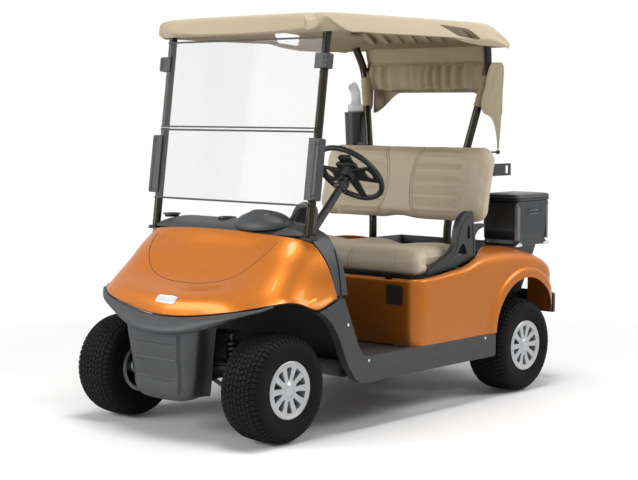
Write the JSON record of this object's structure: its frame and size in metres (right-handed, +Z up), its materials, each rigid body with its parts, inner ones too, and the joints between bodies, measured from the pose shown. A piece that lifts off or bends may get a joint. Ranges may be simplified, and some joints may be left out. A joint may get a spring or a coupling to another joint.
{
  "type": "golf cart",
  "caption": "Golf cart with painted nose and rear body, moulded roof on struts, split clear screen, bench seat, covered bag well, lidded cooler, steered front wheels and rolling rear wheels.",
  "frame": {"origin": "on the ground, under the middle of the cart's length and width", "axes": "+X forward, +Y to the driver's side (left), +Z up"},
  "size_m": [2.3778, 1.2, 1.8179],
  "materials": {
    "orange_paint": "metallic clear-coated",
    "grey_plastic": "fine-grained moulded",
    "black_plastic": "moulded",
    "black_steel": "powder coated",
    "suspension_steel": "satin",
    "spring_steel": "satin",
    "axle_iron": "rough",
    "battery_case": "moulded",
    "floor_mat": "ribbed",
    "column_steel": "gloss",
    "tan_vinyl": "soft grained",
    "strut_steel": "satin bronze black",
    "tan_plastic": "moulded",
    "clear_sheet": "clear",
    "tan_fabric": "woven",
    "bottle_plastic": "translucent",
    "cooler_plastic": "moulded",
    "wheel_grip": "soft grip",
    "tyre": "rubber",
    "wheel_silver": "silver painted"
  },
  "bodies": {
    "chassis": {"frame": "black_steel", "front_suspension": "suspension_steel", "rear_axle": "axle_iron", "rear_springs": "spring_steel", "battery_block": "battery_case", "floor_pan": "floor_mat", "rocker_left": "grey_plastic", "rocker_right": "grey_plastic", "front_cowl": "orange_paint", "front_bumper": "grey_plastic", "dash": "grey_plastic", "steering_column": "column_steel", "pedals": "black_plastic", "rear_body": "orange_paint", "charge_port_cover": "black_plastic", "hip_restraints": "grey_plastic", "backrest_cushion": "tan_vinyl", "backrest_shell": "black_plastic", "front_struts": "strut_steel", "rear_struts": "strut_steel", "roof": "tan_plastic", "windshield": "clear_sheet", "windshield_clips": "grey_plastic", "bag_well": "black_plastic", "rear_bumper": "grey_plastic", "bag_rack": "black_plastic", "bag_cover": "tan_fabric", "sand_bottle_holder": "black_plastic", "sand_bottle": "bottle_plastic", "cooler": "cooler_plastic"},
    "seat": {"seat_cushion": "tan_vinyl", "seat_pan": "black_plastic"},
    "cooler_lid": {"cooler_lid": "cooler_plastic"},
    "knuckle_left": {"knuckle_left": "axle_iron"},
    "knuckle_right": {"knuckle_right": "axle_iron"},
    "steering_rack": {"steering_rack": "suspension_steel"},
    "steering_wheel": {"steering_wheel": "wheel_grip"},
    "wheel_front_left": {"tyre_front_left": "tyre", "rim_front_left": "wheel_silver"},
    "wheel_front_right": {"tyre_front_right": "tyre", "rim_front_right": "wheel_silver"},
    "wheel_rear_left": {"tyre_rear_left": "tyre", "rim_rear_left": "wheel_silver"},
    "wheel_rear_right": {"tyre_rear_right": "tyre", "rim_rear_right": "wheel_silver"}
  },
  "joints": [
    {"name": "steer_left", "type": "hinge", "parent": "chassis", "child": "knuckle_left", "pos_m": [0.925, 0.325, 0.2286], "axis": [0, 0, 1], "range_deg": [-28, 28]},
    {"name": "steer_right", "type": "hinge", "parent": "chassis", "child": "knuckle_right", "pos_m": [0.925, -0.325, 0.2286], "axis": [0, 0, 1], "range_deg": [-28, 28]},
    {"name": "rack_slide", "type": "slide", "parent": "chassis", "child": "steering_rack", "axis": [0, 1, 0], "range_m": [-0.056, 0.056]},
    {"name": "steering_wheel_turn", "type": "hinge", "parent": "chassis", "child": "steering_wheel", "pos_m": [0.216, 0.269, 1.097], "axis": [-0.712, 0, 0.7022], "range_deg": [-290, 290]},
    {"name": "wheel_front_left_roll", "type": "hinge", "parent": "knuckle_left", "child": "wheel_front_left", "pos_m": [0.925, 0.452, 0.2286], "axis": [0, 1, 0], "continuous": true},
    {"name": "wheel_front_right_roll", "type": "hinge", "parent": "knuckle_right", "child": "wheel_front_right", "pos_m": [0.925, -0.452, 0.2286], "axis": [0, 1, 0], "continuous": true},
    {"name": "wheel_rear_left_roll", "type": "hinge", "parent": "chassis", "child": "wheel_rear_left", "pos_m": [-0.745, 0.492, 0.2286], "axis": [0, 1, 0], "continuous": true},
    {"name": "wheel_rear_right_roll", "type": "hinge", "parent": "chassis", "child": "wheel_rear_right", "pos_m": [-0.745, -0.492, 0.2286], "axis": [0, 1, 0], "continuous": true},
    {"name": "seat_lift", "type": "hinge", "parent": "chassis", "child": "seat", "pos_m": [-0.38, 0, 0.632], "axis": [0, -1, 0], "range_deg": [0, 70]},
    {"name": "cooler_lid_lift", "type": "hinge", "parent": "chassis", "child": "cooler_lid", "pos_m": [-0.909, 0.301, 0.9322], "axis": [1, 0, 0], "range_deg": [0, 85]}
  ],
  "couplings": [
    {"joint": "steer_right", "follows": "steer_left", "ratio": 1},
    {"joint": "rack_slide", "follows": "steer_left", "m_per_rad": -0.11},
    {"joint": "steering_wheel_turn", "follows": "steer_left", "ratio": 10}
  ]
}
